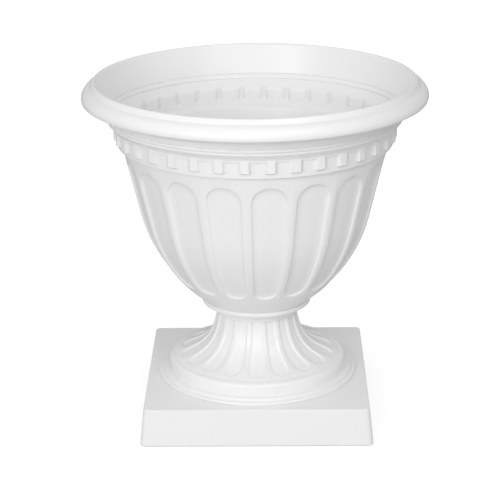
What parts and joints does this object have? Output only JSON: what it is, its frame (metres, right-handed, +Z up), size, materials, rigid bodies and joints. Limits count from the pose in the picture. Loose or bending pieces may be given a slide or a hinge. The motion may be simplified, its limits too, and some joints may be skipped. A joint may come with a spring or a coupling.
{
  "type": "floor planter",
  "caption": "Classical urn planter: a fluted bowl with rolled rim and dentil frieze, bolted to a flared fluted stem on a square plinth.",
  "frame": {"origin": "on the floor, in the middle of the plinth, on the common axis of pedestal, bolt and bowl", "axes": "+Z up along that axis; -Y is the side that faces the viewer; X and Y lie along the plinth's sides"},
  "size_m": [0.4, 0.3999, 0.403],
  "materials": {
    "white_plastic": "smooth satin white, moulded through",
    "zinc_steel": "bright zinc plating",
    "seal_rubber": "matt black rubber",
    "plug_rubber": "matt grey rubber"
  },
  "bodies": {
    "pedestal": {"pedestal": "white_plastic", "tie_bolt": "zinc_steel", "bolt_washer": "zinc_steel"},
    "bowl": {"bowl": "white_plastic", "seal_washer": "seal_rubber"},
    "clamp_washer": {"clamp_washer": "zinc_steel"},
    "wing_nut": {"wing_nut": "zinc_steel"},
    "drain_plug_1": {"drain_plug_1": "plug_rubber"},
    "drain_plug_2": {"drain_plug_2": "plug_rubber"},
    "drain_plug_3": {"drain_plug_3": "plug_rubber"}
  },
  "joints": [
    {"name": "bowl_lift", "type": "slide", "parent": "pedestal", "child": "bowl", "axis": [0, 0, 1], "range_m": [0, 0.1]},
    {"name": "nut_climb", "type": "slide", "parent": "bowl", "child": "clamp_washer", "axis": [0, 0, 1], "range_m": [0, 0.0125]},
    {"name": "nut_turn", "type": "hinge", "parent": "clamp_washer", "child": "wing_nut", "pos_m": [0, 0, 0.13], "axis": [0, 0, 1], "range_deg": [0, 3600]},
    {"name": "drain_plug_1_pull", "type": "slide", "parent": "bowl", "child": "drain_plug_1", "axis": [0, 0, 1], "range_m": [0, 0.04]},
    {"name": "drain_plug_2_pull", "type": "slide", "parent": "bowl", "child": "drain_plug_2", "axis": [0, 0, 1], "range_m": [0, 0.04]},
    {"name": "drain_plug_3_pull", "type": "slide", "parent": "bowl", "child": "drain_plug_3", "axis": [0, 0, 1], "range_m": [0, 0.04]}
  ],
  "couplings": [
    {"joint": "nut_climb", "follows": "nut_turn", "m_per_rad": 0.00019894}
  ]
}
